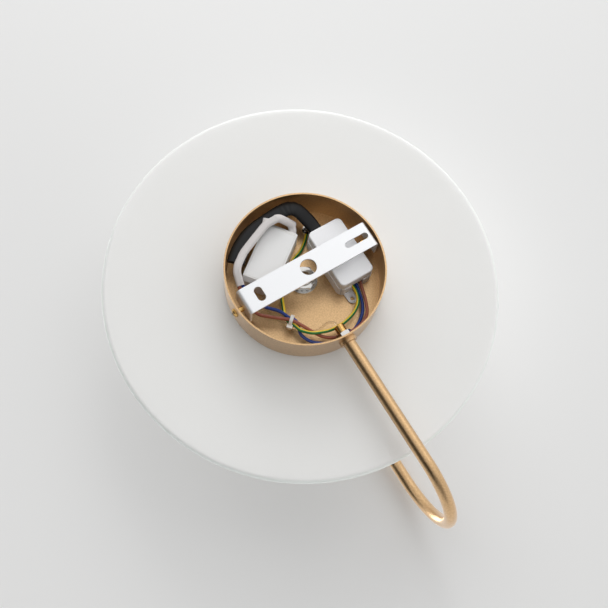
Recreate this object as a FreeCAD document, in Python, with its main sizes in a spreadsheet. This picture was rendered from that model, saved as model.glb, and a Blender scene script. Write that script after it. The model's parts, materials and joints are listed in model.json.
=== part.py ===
import FreeCAD, Part
import math
import os
import Sketcher

# Disc wall sconce, built in millimetres. The wall is the plane y = 0, the room lies towards -Y, Z is up.
# "Depth" is the distance from the wall, so a point at depth d has y = -d.

V = FreeCAD.Vector

SIZES = {
    "cup_radius": 59.0, "cup_depth": 30.0, "cup_wall": 1.2, "cup_fillet": 2.0,
    "bar_length": 108.6, "bar_width": 20.0, "bar_sheet": 1.5, "bar_flange": 17.0, "bar_bend": 3.0,
    "bar_side": 1.7, "bar_down": 1.1, "bar_hole": 6.2,
    "long_slot_near": 34.2, "long_slot_far": 48.8, "long_slot_radius": 2.5,
    "cross_slot_place": 40.6, "cross_slot_half": 2.6, "cross_slot_radius": 3.1,
    "side_screw_depth": 12.0, "side_screw_radius": 2.0, "side_screw_length": 11.0,
    "side_head_radius": 3.4, "side_head_height": 2.2, "screw_play": 0.05, "hole_play": 0.25,
    "nipple_radius": 6.2, "nipple_bore": 4.25, "nipple_top": 20.0, "nipple_end": 43.5, "fit_play": 0.1,
    "nut_flats": 17.0, "nut_height": 5.0, "star_height": 0.9, "star_radius": 9.6,
    "flat_height": 1.2, "flat_radius": 10.6,
    "gasket_height": 1.0, "gasket_radius": 52.0, "glass_radius": 150.0, "glass_height": 6.0,
    "glass_round": 2.9, "glass_hole": 9.0, "front_gasket_height": 0.8, "front_radius": 14.0,
    "cap_height": 8.0, "cap_skin": 2.0,
    "tube_radius": 4.7, "tube_bore": 3.9, "tube_depth": 13.7, "tube_reach": 161.0, "tube_bend": 42.6,
    "stub_radius": 3.85, "stub_bore": 2.75, "stub_inner": 47.0,
    "collar_radius": 6.6, "collar_height": 2.6, "root_nut_flats": 11.0, "root_nut_height": 3.6,
    "root_washer_radius": 6.2, "root_washer_height": 0.8,
    "driver_length": 49.5, "driver_width": 25.5, "driver_height": 19.0, "driver_seam": 12.0,
    "driver_skin": 1.4, "driver_x": 15.1, "driver_z": 23.8, "driver_turn": 37.2, "driver_chamfer": 3.0,
    "driver_exit": -7.9, "driver_exit_depth": 15.0, "lead_exit": -6.0, "lead_exit_depth": 25.0,
    "box_length": 50.0, "box_width": 29.5, "box_height": 20.0, "box_seam": 11.0, "box_skin": 1.3,
    "box_x": -31.25, "box_round": 5.0,
    "head_radius": 30.0, "head_back": 82.0, "head_front": 109.0, "head_skin": 1.4, "head_stub_inner": 19.0,
    "sink_back": 89.6, "sink_height": 2.6, "sink_skirt": 1.2, "board_height": 1.6, "board_radius": 25.0,
    "diffuser_back": 82.6, "diffuser_height": 2.0, "diffuser_skirt": 1.4,
    "chip_ring": 13.0, "chip_radius": 1.8, "chip_height": 0.9, "lead_hole": 1.5, "lead_place": 12.0,
    "wire_radius": 1.25, "lead_radius": 0.9,
    "eyelet_x": -24.5, "eyelet_z": 33.5, "eyelet_radius": 4.0, "eyelet_height": 0.8, "eyelet_hole": 1.7,
    "earth_screw_radius": 1.5, "earth_head_radius": 2.7, "earth_head_height": 1.8,
    "sleeve_wide": 5.9, "sleeve_thick": 3.8, "sleeve_bore_wide": 5.4, "sleeve_bore_thick": 3.4,
    "tape_wide": 10.5, "tape_thick": 3.0, "tape_bore_wide": 9.5, "tape_bore_thick": 2.0,
    "tie_radius": 4.4, "tie_bore": 3.6, "tie_width": 2.5, "tie_depth": 17.8,
    "sleeve_depth": 4.2, "tape_depth": 8.0,
}

NODES = {}
SWEPT = {}
FLAT_SLEEVES = ("black_sleeve", "white_sleeve")
TIE_X, TIE_Z = 26.4, -25.2
TIE_ALONG = (-0.6712, -0.7413)
TIE_ASIDE = (0.7413, -0.6712)

doc = FreeCAD.newDocument("disc_sconce")
sheet = doc.addObject("Spreadsheet::Sheet", "sizes")
for row, (alias, size) in enumerate(SIZES.items(), start=1):
    sheet.set("A%d" % row, str(size))
    sheet.setAlias("A%d" % row, alias)
doc.recompute()


def number(text):
    """Value of a sum such as 'cup_radius - cup_wall * 2', whose words are sheet names or numbers."""
    total = 0.0
    sign = 1.0
    factor = 1.0
    term = None
    for word in text.split():
        if word in ("+", "-"):
            if term is not None:
                total += sign * term
            term = None
            sign = -1.0 if word == "-" else 1.0
        elif word == "*":
            factor = None
        else:
            amount = SIZES[word] if word in SIZES else float(word)
            if factor is None:
                term *= amount
                factor = 1.0
            else:
                term = amount
    return total + sign * term


def formula(text):
    """The same sum as an expression on the sheet."""
    return " ".join("sizes." + word if word in SIZES else word for word in text.split())


def as_text(size):
    return size if isinstance(size, str) else repr(float(size))


def bind(thing, prop, text):
    text = as_text(text)
    setattr(thing, prop, number(text))
    thing.setExpression(prop, formula(text))


def new_body(label):
    body = doc.addObject("PartDesign::Body", label)
    body.Label = label
    return body


def new_sketch(body, role, offset=None):
    """A sketch on an origin plane. On XZ_Plane the offset is a depth, because that plane faces -Y."""
    sketch = body.newObject("Sketcher::SketchObject", body.Label + "_sketch")
    plane = [item for item in body.Origin.OriginFeatures if item.Role == role][0]
    sketch.AttachmentSupport = (plane, [""])
    sketch.MapMode = "FlatFace"
    if offset is not None:
        offset = as_text(offset)
        sketch.AttachmentOffset = FreeCAD.Placement(V(0, 0, number(offset)), FreeCAD.Rotation())
        sketch.setExpression("AttachmentOffset.Base.z", formula(offset))
    return sketch


def place_point(sketch, item, end, x_text, y_text):
    for kind, text in (("DistanceX", x_text), ("DistanceY", y_text)):
        row = sketch.addConstraint(Sketcher.Constraint(kind, -1, 1, item, end, number(text)))
        sketch.setExpression("Constraints[%d]" % row, formula(text))


def add_loop(sketch, corners):
    """A closed polygon whose corners are pairs of sums."""
    corners = [(as_text(x), as_text(y)) for x, y in corners]
    spots = [V(number(x), number(y), 0) for x, y in corners]
    first = sketch.GeometryCount
    count = len(corners)
    for index in range(count):
        sketch.addGeometry(Part.LineSegment(spots[index], spots[(index + 1) % count]), False)
    for index in range(count):
        following = first + (index + 1) % count
        sketch.addConstraint(Sketcher.Constraint("Coincident", first + index, 2, following, 1))
    for index, (x, y) in enumerate(corners):
        place_point(sketch, first + index, 1, x, y)


def add_circle(sketch, x, y, radius):
    x, y, radius = as_text(x), as_text(y), as_text(radius)
    circle = Part.Circle(V(number(x), number(y), 0), V(0, 0, 1), number(radius))
    item = sketch.addGeometry(circle, False)
    place_point(sketch, item, 3, x, y)
    row = sketch.addConstraint(Sketcher.Constraint("Radius", item, number(radius)))
    sketch.setExpression("Constraints[%d]" % row, formula(radius))


def add_slot(sketch, start, end, radius):
    """A round-ended slot between two centres that share an x or a y."""
    (x1, y1), (x2, y2) = [(as_text(x), as_text(y)) for x, y in (start, end)]
    p1 = V(number(x1), number(y1), 0)
    p2 = V(number(x2), number(y2), 0)
    along = p2 - p1
    turn = math.atan2(along.y, along.x)
    half = math.pi / 2
    size = number(radius)
    side = V(-math.sin(turn), math.cos(turn), 0) * size
    up = V(0, 0, 1)
    first = sketch.GeometryCount
    sketch.addGeometry(Part.ArcOfCircle(Part.Circle(p1, up, size), turn + half, turn + 3 * half), False)
    sketch.addGeometry(Part.LineSegment(p1 - side, p2 - side), False)
    sketch.addGeometry(Part.ArcOfCircle(Part.Circle(p2, up, size), turn - half, turn + half), False)
    sketch.addGeometry(Part.LineSegment(p2 + side, p1 + side), False)
    joins = [(0, 2, 1, 1), (1, 2, 2, 1), (2, 2, 3, 1), (3, 2, 0, 1)]
    for a, a_end, b, b_end in joins:
        sketch.addConstraint(Sketcher.Constraint("Tangent", first + a, a_end, first + b, b_end))
    place_point(sketch, first, 3, x1, y1)
    place_point(sketch, first + 2, 3, x2, y2)
    row = sketch.addConstraint(Sketcher.Constraint("Radius", first, size))
    sketch.setExpression("Constraints[%d]" % row, formula(radius))


def feature(body, kind, sketch):
    made = body.newObject("PartDesign::" + kind, body.Label + "_" + kind.lower())
    made.Profile = sketch
    return made


def turned(label, corners, along="V_Axis"):
    """A body turned about Y (corners are radius and y) or about X (corners are x and radius)."""
    body = new_body(label)
    sketch = new_sketch(body, "XY_Plane")
    add_loop(sketch, corners)
    made = feature(body, "Revolution", sketch)
    made.ReferenceAxis = (sketch, [along])
    made.Angle = 360
    return body


def ring(label, inner, outer, back, front):
    """A flat ring about Y between two depths."""
    inner, outer, back, front = [as_text(size) for size in (inner, outer, back, front)]
    near, far = minus(back), minus(front)
    return turned(label, [(inner, near), (outer, near), (outer, far), (inner, far)])


def minus(text):
    """The sum with every sign changed."""
    words = text.split()
    if words[0] not in ("+", "-"):
        words = ["+"] + words
    flipped = {"+": "-", "-": "+"}
    return " ".join(flipped.get(word, word) for word in words).replace("- -", "+").strip()


def pad(body, sketch, length, symmetric=False):
    made = feature(body, "Pad", sketch)
    bind(made, "Length", length)
    if symmetric:
        made.SideType = "Symmetric"
    return made


def pocket(body, sketch, length=None, reverse=False):
    """Cuts against the sketch's normal, or along it with reverse, or both ways with no length."""
    made = feature(body, "Pocket", sketch)
    if length is None:
        made.Type = "ThroughAll"
        made.SideType = "Symmetric"
    else:
        bind(made, "Length", length)
        made.Reversed = reverse
    return made


def edges_where(shape, test):
    names = []
    for index, edge in enumerate(shape.Edges, start=1):
        middle = edge.valueAt((edge.FirstParameter + edge.LastParameter) / 2)
        if test(edge, middle):
            names.append("Edge%d" % index)
    return names


def dress(body, kind, size, test):
    """A fillet or chamfer on the edges of the body's tip that pass the test."""
    doc.recompute()
    base = body.Tip
    names = edges_where(base.Shape, test)
    made = body.newObject("PartDesign::" + kind, body.Label + "_" + kind.lower())
    made.Base = (base, names)
    bind(made, "Radius" if kind == "Fillet" else "Size", size)
    return made


def is_upright(edge):
    """A straight edge along Y, in the body's own frame."""
    if not isinstance(edge.Curve, Part.Line):
        return False
    return abs(edge.tangentAt(edge.FirstParameter).y) > 0.99


def node(label, thing, x=0.0, depth=0.0, z=0.0, turn=None):
    """Sets the placement and the file name of a finished sub-part.

    Everything is drawn about the cup's axis. The part's origin is the crossbar's centre hole, which sits
    bar_side and bar_down beside that axis, so each placement adds those two.
    """
    rotation = turn if turn is not None else FreeCAD.Rotation()
    thing.Label = label
    thing.Placement = FreeCAD.Placement(V(x + number("bar_side"), -depth, z + number("bar_down")), rotation)
    NODES[label] = thing
    return thing


DOWNWARD = FreeCAD.Rotation(V(1, 0, 0), 90)


# ---------------------------------------------------------------- sheet metal and the wall bracket

def canopy_cup():
    inner = "cup_radius - cup_wall"
    floor = "- cup_depth + cup_wall"
    hole = "nipple_radius + fit_play"
    body = turned("canopy_cup", [
        (hole, floor), (inner, floor), (inner, 0), ("cup_radius", 0),
        ("cup_radius", "- cup_depth"), (hole, "- cup_depth")])
    outer_edge = number("cup_radius")
    depth = number("cup_depth")
    dress(body, "Fillet", "cup_fillet", lambda edge, middle: abs(middle.y + depth) < 0.01
          and math.hypot(middle.x, middle.z) > outer_edge - 0.1)
    doc.recompute()
    side_holes = new_sketch(body, "YZ_Plane")
    add_circle(side_holes, "- side_screw_depth", "- bar_down", "side_screw_radius + hole_play")
    pocket(body, side_holes)
    root_hole = new_sketch(body, "XY_Plane")
    add_circle(root_hole, 0, "- tube_depth", "stub_radius + fit_play")
    pocket(body, root_hole, "cup_radius + 5")
    earth_hole = new_sketch(body, "XZ_Plane")
    add_circle(earth_hole, "eyelet_x", "eyelet_z", "earth_screw_radius + screw_play")
    pocket(body, earth_hole)
    node("canopy_cup", body)


def crossbar():
    """A strap with bent ends. Its sketch is the section, padded across the strap's width."""
    body = new_body("mounting_crossbar")
    section = new_sketch(body, "XY_Plane")
    end = "bar_length * 0.5"
    inside = end + " - bar_sheet"
    add_loop(section, [
        (minus(end), 0), (minus(end), "- bar_flange"), (minus(inside), "- bar_flange"),
        (minus(inside), "- bar_sheet"), (inside, "- bar_sheet"), (inside, "- bar_flange"),
        (end, "- bar_flange"), (end, 0)])
    pad(body, section, "bar_width", symmetric=True)
    sheet_metal = number("bar_sheet")
    outer_x = number(end)

    def at(edge, middle, x, y):
        return abs(abs(middle.x) - x) < 0.01 and abs(middle.y - y) < 0.01
    dress(body, "Fillet", "bar_bend", lambda edge, middle: at(edge, middle, outer_x, 0))
    dress(body, "Fillet", "bar_bend - bar_sheet",
          lambda edge, middle: at(edge, middle, outer_x - sheet_metal, -sheet_metal))
    doc.recompute()
    openings = new_sketch(body, "XZ_Plane")
    add_circle(openings, 0, 0, "bar_hole")
    add_slot(openings, ("- long_slot_near", 0), ("- long_slot_far", 0), "long_slot_radius")
    add_slot(openings, ("cross_slot_place", "- cross_slot_half"), ("cross_slot_place", "cross_slot_half"),
             "cross_slot_radius")
    pocket(body, openings)
    tapped = new_sketch(body, "YZ_Plane")
    add_circle(tapped, "- side_screw_depth", 0, "side_screw_radius + screw_play")
    pocket(body, tapped)
    node("mounting_crossbar", body, x=-number("bar_side"), z=-number("bar_down"))


def side_screw(label, turn):
    """A pan head screw along X: its head's underside touches the cup, its tip points at the axis."""
    seat = "cup_radius + 0.02"
    tip = "cup_radius - side_screw_length"
    body = turned(label, [
        (tip, 0), (tip, "side_screw_radius - 0.4"), (tip + " + 0.4", "side_screw_radius"),
        (seat, "side_screw_radius"), (seat, "side_head_radius"),
        (seat + " + side_head_height * 0.45", "side_head_radius"),
        (seat + " + side_head_height * 0.85", "side_head_radius * 0.72"),
        (seat + " + side_head_height", "side_head_radius * 0.35"), (seat + " + side_head_height", 0)],
        along="H_Axis")
    doc.recompute()
    recess = new_sketch(body, "YZ_Plane", "cup_radius + side_head_height * 0.35")
    long, thin = 2.0, 0.45
    add_loop(recess, [
        (-long, -thin), (-thin, -thin), (-thin, -long), (thin, -long), (thin, -thin), (long, -thin),
        (long, thin), (thin, thin), (thin, long), (-thin, long), (-thin, thin), (-long, thin)])
    pocket(body, recess, "side_head_height", reverse=True)
    node(label, body, depth=number("side_screw_depth"), z=-number("bar_down"), turn=turn)


# ---------------------------------------------------------------- the stack on the centre nipple

def hex_nut(label, flats, back, height, bore, chamfered=True):
    """A hexagon nut about Y whose back face is at a depth."""
    body = new_body(label)
    sketch = new_sketch(body, "XZ_Plane", back)
    flats, height, back = as_text(flats), as_text(height), as_text(back)
    half = flats + " * 0.5"
    quarter = flats + " * 0.288675"
    point = flats + " * 0.57735"
    add_loop(sketch, [
        (half, minus(quarter)), (half, quarter), (0, point), (minus(half), quarter),
        (minus(half), minus(quarter)), (0, minus(point))])
    add_circle(sketch, 0, 0, bore)
    pad(body, sketch, height)
    doc.recompute()
    beyond = flats + " * 0.6"
    for face, inward in ((minus(back), " - "), (minus(back + " + " + height), " + ")):
        cut = new_sketch(body, "XY_Plane")
        add_loop(cut, [(half, face), (beyond, face), (beyond, face + inward + flats + " * 0.045")])
        groove = feature(body, "Groove", cut)
        groove.ReferenceAxis = (cut, ["V_Axis"])
        groove.Angle = 360
        doc.recompute()
    return body


def centre_stack():
    bore = "nipple_radius + fit_play"
    floor = "cup_depth - cup_wall"
    ring_top = floor + " - flat_height"
    star_top = ring_top + " - star_height"
    node("centre_flat_washer", ring("centre_flat_washer", bore, "flat_radius", ring_top, floor))
    node("centre_star_washer", star_washer(bore, star_top))
    nut = hex_nut("centre_nut", "nut_flats", star_top + " - nut_height", "nut_height", bore)
    node("centre_nut", nut)
    nipple = ring("centre_nipple", "nipple_bore", "nipple_radius", "nipple_top", "nipple_end")
    node("centre_nipple", nipple)
    glass_back = "cup_depth + gasket_height"
    glass_front = glass_back + " + glass_height"
    node("rear_gasket", ring("rear_gasket", bore, "gasket_radius", "cup_depth", glass_back))
    glass = ring("glass_disc", "glass_hole", "glass_radius", glass_back, glass_front)
    rim = number("glass_radius")
    dress(glass, "Fillet", "glass_round", lambda edge, middle: math.hypot(middle.x, middle.z) > rim - 0.1
          and edge.Length > 1.5 * rim)
    node("glass_disc", glass)
    bush = ring("glass_bush", bore, "glass_hole - fit_play", glass_back, glass_front)
    node("glass_bush", bush)
    cap_back = glass_front + " + front_gasket_height"
    node("front_gasket", ring("front_gasket", bore, "front_radius - 1", glass_front, cap_back))
    front_cap(cap_back)


def star_washer(bore, top):
    """A lock washer whose outer teeth are cut by notches around it."""
    body = ring("centre_star_washer", bore, "star_radius", top, top + " + star_height")
    doc.recompute()
    notch = new_sketch(body, "XZ_Plane")
    add_loop(notch, [("star_radius - 1.6", -0.7), ("star_radius + 1", -1.3), ("star_radius + 1", 1.3),
                     ("star_radius - 1.6", 0.7)])
    cut = pocket(body, notch)
    doc.recompute()
    pattern = body.newObject("PartDesign::PolarPattern", "star_teeth")
    pattern.Originals = [cut]
    axis = [item for item in body.Origin.OriginFeatures if item.Role == "Y_Axis"][0]
    pattern.Axis = (axis, [""])
    pattern.Angle = 360
    pattern.Occurrences = 14
    body.Tip = pattern
    return body


def front_cap(back):
    """A domed cap nut with a blind bore."""
    front = back + " + cap_height"
    bore = "nipple_radius + fit_play"
    body = turned("front_cap", [
        (bore, minus(back)), ("front_radius", minus(back)), ("front_radius", minus(back + " + 2.5")),
        ("front_radius * 0.9", minus(back + " + 4.6")), ("front_radius * 0.66", minus(back + " + 6.6")),
        ("front_radius * 0.36", minus(back + " + 7.7")), (0, minus(front)),
        (0, minus(front + " - cap_skin")), (bore, minus(front + " - cap_skin"))])
    node("front_cap", body)


# ---------------------------------------------------------------- the arm

def round_path(points, radii=(), most=30.0):
    """Straight runs joined by tangent arcs. Points are (x, depth, z).

    The first inner points take the radii given, and the others the largest that leaves room beside them.
    """
    spots = [V(x, -depth, z) for x, depth, z in points]
    edges = []
    start = spots[0]
    used = []
    for index in range(1, len(spots) - 1):
        back = spots[index - 1] - spots[index]
        ahead = spots[index + 1] - spots[index]
        room = 0.49 * min(back.Length, ahead.Length)
        before = back.normalize()
        after = ahead.normalize()
        half = before.getAngle(after) / 2
        given = radii[index - 1] if index <= len(radii) else min(room * math.tan(half), most)
        reach = given / math.tan(half)
        into = spots[index] + before * reach
        out = spots[index] + after * reach
        bisector = (before + after).normalize()
        middle = spots[index] + bisector * (given / math.sin(half) - given)
        if (start - into).dot(before) < 0.02:
            raise ValueError("no straight run before point %d" % index)
        edges.append(Part.LineSegment(start, into).toShape())
        edges.append(Part.Arc(into, middle, out).toShape())
        start = out
        used.append(given)
    edges.append(Part.LineSegment(start, spots[-1]).toShape())
    return Part.Wire(edges), min(used)


def swept(label, path, section, beside_it=()):
    """A solid swept along a path from one or two closed section wires, the second being the hole.

    A soft sleeve gives way to the pieces named beside it, so their shapes are cut from it.
    """
    solids = []
    for wire in section:
        shell = Part.BRepOffsetAPI.MakePipeShell(path)
        shell.setBiNormalMode(V(0, 1, 0)) if label in FLAT_SLEEVES else shell.setFrenetMode(False)
        shell.add(wire)
        shell.build()
        shell.makeSolid()
        solids.append(shell.shape())
    shape = solids[0] if len(solids) == 1 else solids[0].cut(solids[1])
    for other in beside_it:
        shape = shape.cut(SWEPT[other])
    SWEPT[label] = shape
    thing = doc.addObject("Part::Feature", label)
    thing.Shape = max(shape.Solids, key=lambda solid: solid.Volume)
    return thing


def report_sweep(label, thing, path, area, radius):
    print("%-14s length %.1f  volume %.1f  section times length %.1f  least radius %.1f"
          % (label, path.Length, thing.Shape.Volume, area * path.Length, radius))


def circle_section(path, radius):
    start = path.Edges[0].valueAt(path.Edges[0].FirstParameter)
    ahead = path.Edges[0].tangentAt(path.Edges[0].FirstParameter)
    return Part.Wire([Part.makeCircle(radius, start, ahead)])


def oval_section(path, wide, thick, across):
    """A stadium outline at the start of a path. Its long side runs along 'across'."""
    start = path.Edges[0].valueAt(path.Edges[0].FirstParameter)
    ahead = path.Edges[0].tangentAt(path.Edges[0].FirstParameter)
    across = (across - ahead * across.dot(ahead)).normalize()
    up = ahead.cross(across)
    half = wide / 2 - thick / 2
    radius = thick / 2
    a, b = start + across * half, start - across * half
    edges = [
        Part.LineSegment(b + up * radius, a + up * radius).toShape(),
        Part.Arc(a + up * radius, a + across * radius, a - up * radius).toShape(),
        Part.LineSegment(a - up * radius, b - up * radius).toShape(),
        Part.Arc(b - up * radius, b - across * radius, b + up * radius).toShape()]
    return Part.Wire(edges)


def arm():
    depth = number("tube_depth")
    bend = number("tube_bend")
    reach = number("tube_reach")
    start = number("cup_radius + 0.8")
    head_side = number("head_radius + 0.4")
    low = reach + bend
    points = [(0, depth, -start), (0, depth, -low),
              (0, depth + 2 * bend, -low), (0, depth + 2 * bend, -head_side)]
    path, least = bend_path(points, bend)
    outer, inner = number("tube_radius"), number("tube_bore")
    tube = swept("arm_tube", path, [circle_section(path, outer), circle_section(path, inner)])
    node("arm_tube", tube)
    report_sweep("arm_tube", tube, path, math.pi * (outer ** 2 - inner ** 2), least)
    root_joint("arm", "cup_radius", "cup_wall", depth, "stub_inner")
    root_joint("head", "head_radius", "head_skin", depth + 2 * bend, "head_stub_inner")


def bend_path(points, radius):
    """A run, a half turn made of two quarter arcs that meet, and a run back."""
    a, b, c, d = [V(x, -depth, z) for x, depth, z in points]
    up = V(0, 0, 1)
    first = b + up * radius
    last = c + up * radius
    middle = (b + c) * 0.5
    wire = Part.Wire([
        Part.LineSegment(a, first).toShape(), Part.Arc(first, middle, last).toShape(),
        Part.LineSegment(last, d).toShape()])
    return wire, radius


def root_joint(prefix, shell_radius, skin, depth, inner_end):
    """Collar, threaded stub, washer and nut where the tube meets a round wall, pointing down."""
    wall = shell_radius + " - " + skin
    seat = math.sqrt(number(wall) ** 2 - number("root_washer_radius") ** 2)
    washer = ring(prefix + "_washer", "stub_radius + fit_play", "root_washer_radius",
                  "%.3f - root_washer_height" % seat, "%.3f" % seat)
    node(prefix + "_washer", washer, depth=depth, turn=DOWNWARD)
    nut = hex_nut(prefix + "_nut", "root_nut_flats", "%.3f - root_washer_height - root_nut_height" % seat,
                  "root_nut_height", "stub_radius + fit_play")
    node(prefix + "_nut", nut, depth=depth, turn=DOWNWARD * FreeCAD.Rotation(V(0, 1, 0), 30))
    stub = ring(prefix + "_stub", "stub_bore", "stub_radius", inner_end, shell_radius + " + 15")
    node(prefix + "_stub", stub, depth=depth, turn=DOWNWARD)
    blank = ring(prefix + "_collar_blank", "tube_radius + fit_play", "collar_radius",
                 shell_radius + " - 1.5", shell_radius + " + collar_height")
    blank.Placement = FreeCAD.Placement(V(0, -depth, 0), DOWNWARD)
    core = doc.addObject("Part::Cylinder", prefix + "_collar_core")
    bind(core, "Radius", shell_radius)
    core.Height = 40
    core.Placement = FreeCAD.Placement(V(0, -depth + 20, 0), DOWNWARD)
    collar = doc.addObject("Part::Cut", prefix + "_collar")
    collar.Base = blank
    collar.Tool = core
    node(prefix + "_collar", collar)


# ---------------------------------------------------------------- driver and junction box

def block(body, x, z, back, height):
    """A pad in the body's own frame with half sides x and z, from a depth towards the room."""
    sketch = new_sketch(body, "XZ_Plane", back)
    x, z = as_text(x), as_text(z)
    add_loop(sketch, [(minus(x), minus(z)), (x, minus(z)), (x, z), (minus(x), z)])
    return pad(body, sketch, height)


def hollow(body, x, z, wall, back, height):
    """Cuts the room inside a shell with outer half sides x and z, towards the room side."""
    sketch = new_sketch(body, "XZ_Plane", back)
    x = as_text(x) + " - " + wall
    z = as_text(z) + " - " + wall
    add_loop(sketch, [(minus(x), minus(z)), (x, minus(z)), (x, z), (minus(x), z)])
    return pocket(body, sketch, height, reverse=True)


def driver():
    floor = "cup_depth - cup_wall"
    top = floor + " - driver_height"
    seam = top + " + driver_seam"
    turn = FreeCAD.Rotation(V(0, 1, 0), number("driver_turn"))
    place = dict(x=number("driver_x"), z=number("driver_z"), turn=turn)
    case = new_body("driver_case")
    block(case, "driver_length * 0.5", "driver_width * 0.5", seam, "driver_height - driver_seam")
    dress(case, "Fillet", 2.5, lambda edge, middle: is_upright(edge))
    doc.recompute()
    hollow(case, "driver_length * 0.5", "driver_width * 0.5", "driver_skin", seam,
           "driver_height - driver_seam - driver_skin")
    outlet = new_sketch(case, "YZ_Plane", "driver_length * 0.5 + 1")
    add_circle(outlet, "- lead_exit_depth", "lead_exit", "lead_radius + 0.15")
    pocket(case, outlet, 4)
    node("driver_case", case, **place)
    cover = new_body("driver_cover")
    block(cover, "driver_length * 0.5", "driver_width * 0.5", top, "driver_seam")
    end = number("driver_length * 0.5")
    side = number("driver_width * 0.5")
    depth = number(top)
    dress(cover, "Chamfer", "driver_chamfer", lambda edge, middle: abs(middle.y + depth) < 0.01
          and abs(abs(middle.x) - end) < 0.01)
    dress(cover, "Fillet", 2.5, lambda edge, middle: is_upright(edge) and abs(abs(middle.z) - side) < 0.01)
    doc.recompute()
    hollow(cover, "driver_length * 0.5 - 1.5", "driver_width * 0.5", "driver_skin", top + " + driver_skin",
           "driver_seam")
    exit_hole = new_sketch(cover, "YZ_Plane", "- driver_length * 0.5 - 1")
    add_slot(exit_hole, ("- driver_exit_depth", "driver_exit - 1.3"),
             ("- driver_exit_depth", "driver_exit + 1.3"), "2.05")
    pocket(cover, exit_hole, 5, reverse=True)
    node("driver_cover", cover, **place)
    board = new_body("driver_board")
    board_top = seam + " + 2"
    block(board, "driver_length * 0.5 - 3.5", "driver_width * 0.5 - 2", board_top, "1.6")
    for x, z, length, width, rise in ((-5, 0, 13, 14, 9), (8, 4, 9, 9, 7), (15, -4, 6, 8, 6)):
        sketch = new_sketch(board, "XZ_Plane", board_top + " - %g" % rise)
        add_loop(sketch, [(x - length / 2, z - width / 2), (x + length / 2, z - width / 2),
                          (x + length / 2, z + width / 2), (x - length / 2, z + width / 2)])
        pad(board, sketch, "%g + 0.8" % rise)
    node("driver_board", board, **place)


def junction_box():
    floor = "cup_depth - cup_wall"
    top = floor + " - box_height"
    seam = floor + " - box_seam"
    place = dict(x=number("box_x"))
    base = new_body("junction_box_base")
    block(base, "box_width * 0.5", "box_length * 0.5", seam, "box_seam")
    dress(base, "Fillet", "box_round", lambda edge, middle: is_upright(edge))
    doc.recompute()
    hollow(base, "box_width * 0.5", "box_length * 0.5", "box_skin", seam, "box_seam - box_skin")
    ear = new_sketch(base, "XZ_Plane", floor + " - 1.6")
    add_slot(ear, (7.2, -22), (7.2, -31), "3.6")
    pad(base, ear, 1.6)
    ear_hole = new_sketch(base, "XZ_Plane")
    add_circle(ear_hole, 7.2, -31, 1.6)
    pocket(base, ear_hole)
    outlet = new_sketch(base, "XY_Plane", "- box_length * 0.5 - 1")
    add_loop(outlet, [(-5.2, minus(seam)), (-5.2, minus(seam + " + 7.2")), (5.0, minus(seam + " + 7.2")),
                      (5.0, minus(seam))])
    pocket(base, outlet, 4, reverse=True)
    node("junction_box_base", base, **place)
    lid = new_body("junction_box_lid")
    block(lid, "box_width * 0.5 - 0.5", "box_length * 0.5 - 0.5", top, "box_height - box_seam")
    dress(lid, "Fillet", "box_round - 1", lambda edge, middle: is_upright(edge))
    height = number(top)
    dress(lid, "Fillet", "1.2", lambda edge, middle: abs(middle.y + height) < 0.01)
    doc.recompute()
    hollow(lid, "box_width * 0.5 - 0.5", "box_length * 0.5 - 0.5", "box_skin",
           top + " + box_skin", "box_height")
    inlet = new_sketch(lid, "XY_Plane", "box_length * 0.5 - 3")
    add_loop(inlet, [(-0.6, minus(seam)), (-0.6, minus(seam + " - 4.6")), (10.5, minus(seam + " - 4.6")),
                     (10.5, minus(seam))])
    pocket(lid, inlet, 4, reverse=True)
    node("junction_box_lid", lid, **place)
    terminals(floor)


def terminals(floor):
    """A three-way block with a bore along Z for each wire and two screws over each bore."""
    block_top = floor + " - box_skin - 11"
    body = new_body("terminal_block")
    block(body, 12, 8, block_top, 11)
    doc.recompute()
    bores = new_sketch(body, "XY_Plane")
    for place in (-7.5, 0, 7.5):
        add_circle(bores, place, minus(block_top + " + 6.4"), 1.4)
    pocket(body, bores)
    wells = new_sketch(body, "XZ_Plane", block_top)
    for place in (-7.5, 0, 7.5):
        for side in (-4.5, 4.5):
            add_circle(wells, place, side, 1.9)
    pocket(body, wells, "5.0", reverse=True)
    node("terminal_block", body, x=number("box_x"))
    screws = new_body("terminal_screws")
    heads = new_sketch(screws, "XZ_Plane", block_top + " + 1.2")
    for place in (-7.5, 0, 7.5):
        for side in (-4.5, 4.5):
            add_circle(heads, place, side, 1.8)
    pad(screws, heads, "3.6")
    node("terminal_screws", screws, x=number("box_x"))


# ---------------------------------------------------------------- lamp head on the room side

def lamp_head():
    """Everything is turned about Y. The head is open towards the glass and closed towards the room."""
    inner = "head_radius - head_skin"
    closed = "head_front - head_skin"
    housing = turned("head_housing", [
        (0, minus("head_front")), ("head_radius", minus("head_front")), ("head_radius", minus("head_back")),
        (inner, minus("head_back")), (inner, minus(closed)), (0, minus(closed))])
    rim = number("head_radius")
    front = number("head_front")
    dress(housing, "Fillet", "1.2", lambda edge, middle: abs(middle.y + front) < 0.01
          and math.hypot(middle.x, middle.z) > rim - 0.1)
    doc.recompute()
    hole = new_sketch(housing, "XY_Plane")
    add_circle(hole, 0, "- tube_depth - tube_bend * 2", "stub_radius + fit_play")
    pocket(housing, hole, "head_radius + 5")
    node("head_housing", housing)




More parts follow.
